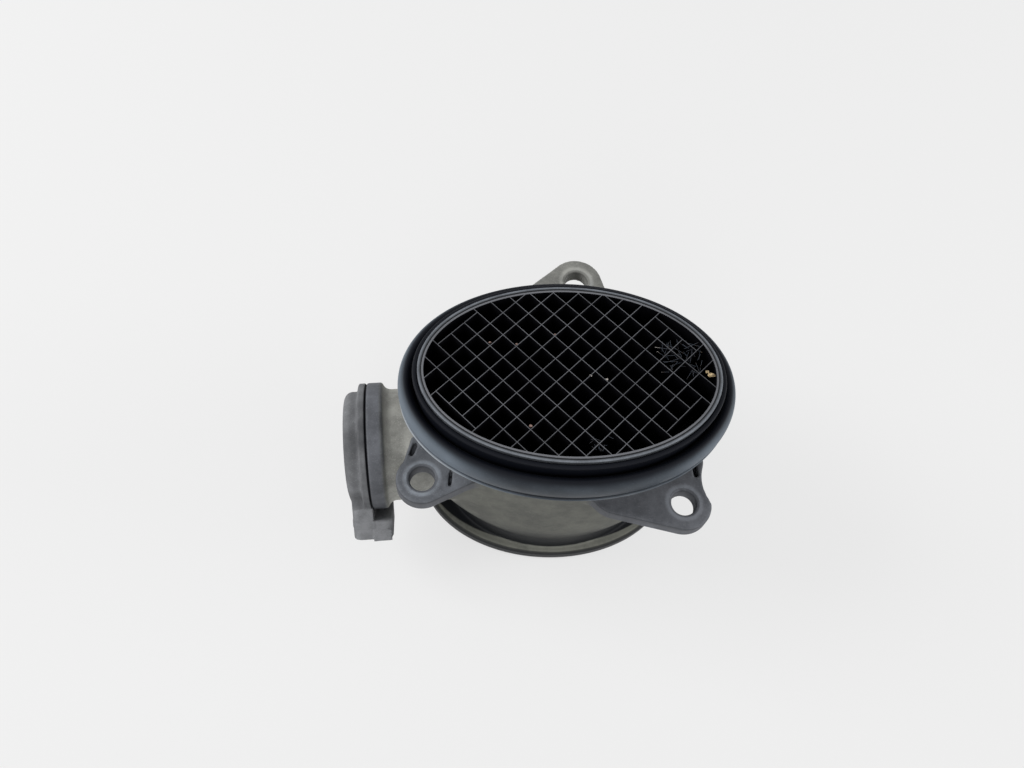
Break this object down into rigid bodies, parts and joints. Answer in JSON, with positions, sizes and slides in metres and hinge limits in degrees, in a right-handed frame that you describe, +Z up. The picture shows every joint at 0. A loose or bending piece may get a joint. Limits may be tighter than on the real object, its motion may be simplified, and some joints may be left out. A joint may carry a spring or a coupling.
{
  "type": "mass airflow sensor",
  "caption": "Oval air duct with a lattice grid and bead seal on its inlet, bolt ears, and a side module with a measuring probe and connector.",
  "frame": {"origin": "centre of the oval outlet, in the plane of the outlet rim's face", "axes": "+Z up the duct towards the inlet grid, +X along the oval's long axis away from the sensing module, +Y towards the rear ear"},
  "size_m": [0.1113, 0.089, 0.075],
  "materials": {
    "housing_plastic": "moulded black plastic greyed by dust",
    "grid_plastic": "moulded grey plastic, dusty",
    "seal_rubber": "smooth black rubber with a dusty bloom",
    "case_plastic": "moulded grey-black plastic, dusty",
    "probe_plastic": "moulded black plastic",
    "tinned_metal": "tinned copper alloy",
    "ring_rubber": "black rubber",
    "element_film": "glazed ceramic with a metal film",
    "board_laminate": "green solder mask",
    "chip_plastic": "moulded epoxy",
    "capacitor_metal": "drawn aluminium can"
  },
  "bodies": {
    "root": {"flow_housing": "housing_plastic", "inlet_grid": "grid_plastic", "inlet_seal": "seal_rubber", "sensor_case": "case_plastic", "terminal_1": "tinned_metal", "terminal_2": "tinned_metal", "terminal_3": "tinned_metal", "terminal_4": "tinned_metal", "terminal_5": "tinned_metal", "sensor_probe": "probe_plastic", "probe_ring": "ring_rubber", "sensor_lead_1": "tinned_metal", "sensor_lead_2": "tinned_metal", "sensor_lead_3": "tinned_metal", "sensor_lead_4": "tinned_metal", "heater_element": "element_film", "temperature_element": "element_film", "circuit_board": "board_laminate", "signal_chip": "chip_plastic", "capacitor_1": "capacitor_metal", "capacitor_2": "capacitor_metal"}
  },
  "joints": []
}
